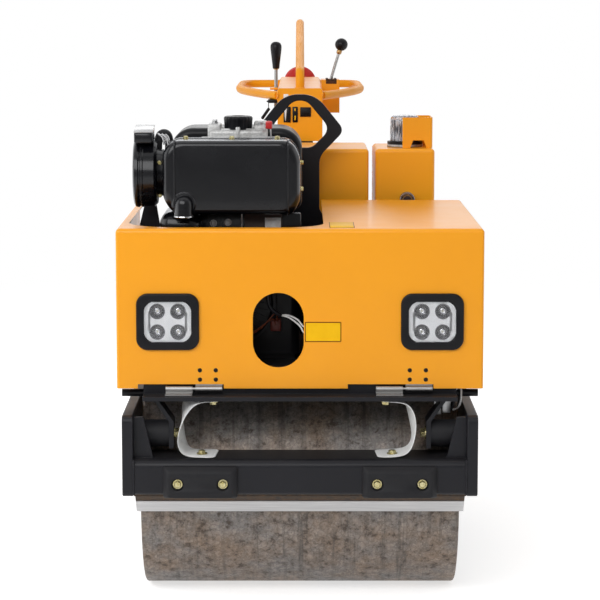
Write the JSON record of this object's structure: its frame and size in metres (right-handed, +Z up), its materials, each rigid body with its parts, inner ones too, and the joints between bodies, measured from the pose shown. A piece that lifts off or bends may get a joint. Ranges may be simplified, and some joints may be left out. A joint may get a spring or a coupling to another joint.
{
  "type": "walk-behind double-drum road roller",
  "caption": "Walk-behind vibratory road roller with two steel drums, a tilting orange hood, rubber-mounted deck, lifting hoop and a folding handle arm.",
  "frame": {"origin": "on the floor, below the centre of the outline", "axes": "+Y along the machine towards the operator, +X to the right seen from the front, +Z up"},
  "size_m": [0.678, 2.036, 1.0865],
  "materials": {
    "drum_steel": "worn rolled steel",
    "bright_steel": "machined",
    "scraper_steel": "plain cut steel",
    "frame_black": "satin",
    "rubber": "matt",
    "webbing": "woven",
    "orange_paint": "gloss",
    "lamp_black": "moulded",
    "reflector": "gloss",
    "cast_alloy": "as cast",
    "cast_grey": "painted casting",
    "black_plastic": "moulded",
    "black_paint": "satin",
    "clear_lens": "clear",
    "red_plastic": "gloss"
  },
  "bodies": {
    "chassis": {"air_cleaner": "black_plastic", "arm_rest": "rubber", "battery": "black_plastic", "beacon_base": "black_plastic", "beacon_guard": "orange_paint", "beacon_lens": "clear_lens", "beam_front": "frame_black", "beam_rear": "frame_black", "breather_cap": "black_plastic", "bumper_pads": "rubber", "crankcase": "cast_alloy", "cylinder_and_head": "cast_alloy", "frame_knuckles": "bright_steel", "fuel_tank": "black_paint", "hood_rests": "frame_black", "hydraulic_pump": "cast_grey", "lifting_plate": "frame_black", "limit_straps": "webbing", "mast": "orange_paint", "muffler": "black_paint", "oil_tank": "orange_paint", "pivot_pin": "bright_steel", "rocker_cover": "cast_alloy", "rubber_mounts": "rubber", "scrapers": "scraper_steel", "side_plate_left": "frame_black", "side_plate_right": "frame_black", "spray_pipes": "frame_black", "stub_axles": "bright_steel", "tank_port": "black_paint", "upper_frame": "frame_black", "water_tank": "orange_paint"},
    "drum_front": {"drum_front": "drum_steel"},
    "drum_rear": {"drum_rear": "drum_steel"},
    "hood": {"hood_front_panel": "orange_paint", "hood_top_panel": "orange_paint", "hood_side_left": "orange_paint", "hood_side_right": "orange_paint", "work_lamps": "lamp_black", "lamp_reflectors": "reflector", "hood_knuckles": "bright_steel"},
    "arm": {"arm_head": "orange_paint", "handle_loop": "orange_paint", "bow_tube": "orange_paint", "lever_rods": "bright_steel", "lever_knobs": "black_plastic", "stop_disc": "red_plastic"}
  },
  "joints": [
    {"name": "drum_front_spin", "type": "hinge", "parent": "chassis", "child": "drum_front", "pos_m": [0, -0.697, 0.2125], "axis": [1, 0, 0], "continuous": true},
    {"name": "drum_rear_spin", "type": "hinge", "parent": "chassis", "child": "drum_rear", "pos_m": [0, -0.207, 0.2125], "axis": [1, 0, 0], "continuous": true},
    {"name": "hood_tilt", "type": "hinge", "parent": "chassis", "child": "hood", "pos_m": [0, -0.952, 0.4226], "axis": [1, 0, 0], "range_deg": [0, 75]},
    {"name": "arm_fold", "type": "hinge", "parent": "chassis", "child": "arm", "pos_m": [0, 0.138, 0.775], "axis": [1, 0, 0], "range_deg": [0, 80]}
  ]
}
